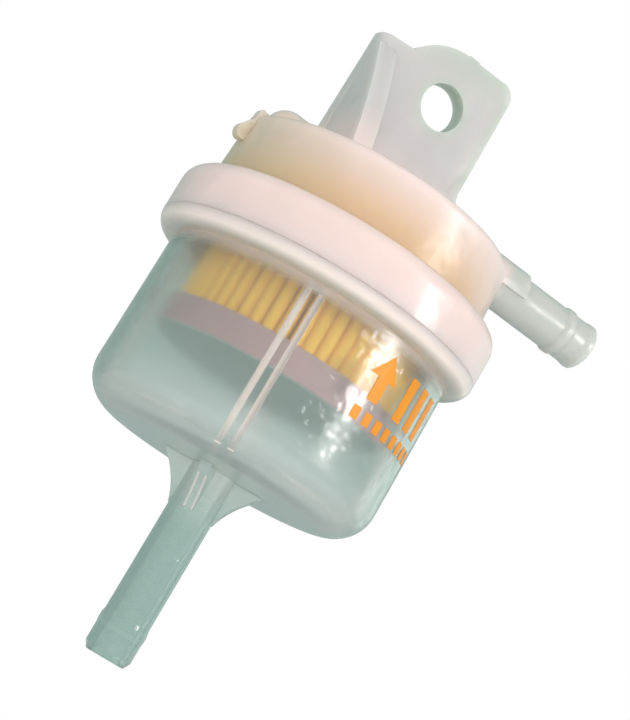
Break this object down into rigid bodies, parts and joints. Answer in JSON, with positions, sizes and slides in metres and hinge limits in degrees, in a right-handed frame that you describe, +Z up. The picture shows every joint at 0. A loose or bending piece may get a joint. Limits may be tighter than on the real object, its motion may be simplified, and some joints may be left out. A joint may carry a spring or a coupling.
{
  "type": "fuel filter",
  "caption": "See-through inline fuel filter: clear bowl with a bottom hose end, milky cap with a side hose end and a drilled tab, pleated paper cartridge inside.",
  "frame": {"origin": "centre of the inlet hose end's open end, on the housing's axis", "axes": "+Z up the housing's axis towards the mounting tab, +X along the outlet hose end, +Y towards the tab's back face"},
  "size_m": [0.0778, 0.0592, 0.1196],
  "materials": {
    "clear_nylon": "clear, faintly teal, glossy",
    "milky_nylon": "translucent milky nylon, satin gloss",
    "filter_paper": "resin-treated pleated paper",
    "end_plate": "satin grey",
    "bond_resin": "cured adhesive",
    "core_plastic": "plain moulded",
    "seal_rubber": "fuel-resistant rubber",
    "clip_steel": "plain strip",
    "mark_ink": "printed ink"
  },
  "bodies": {
    "root": {"bowl": "clear_nylon", "cap": "milky_nylon", "pleated_paper": "filter_paper", "lower_end_plate": "end_plate", "upper_end_plate": "end_plate", "lower_bond": "bond_resin", "upper_bond": "bond_resin", "core_tube": "core_plastic", "outlet_seal": "seal_rubber", "seam_clip": "clip_steel"}
  },
  "joints": []
}
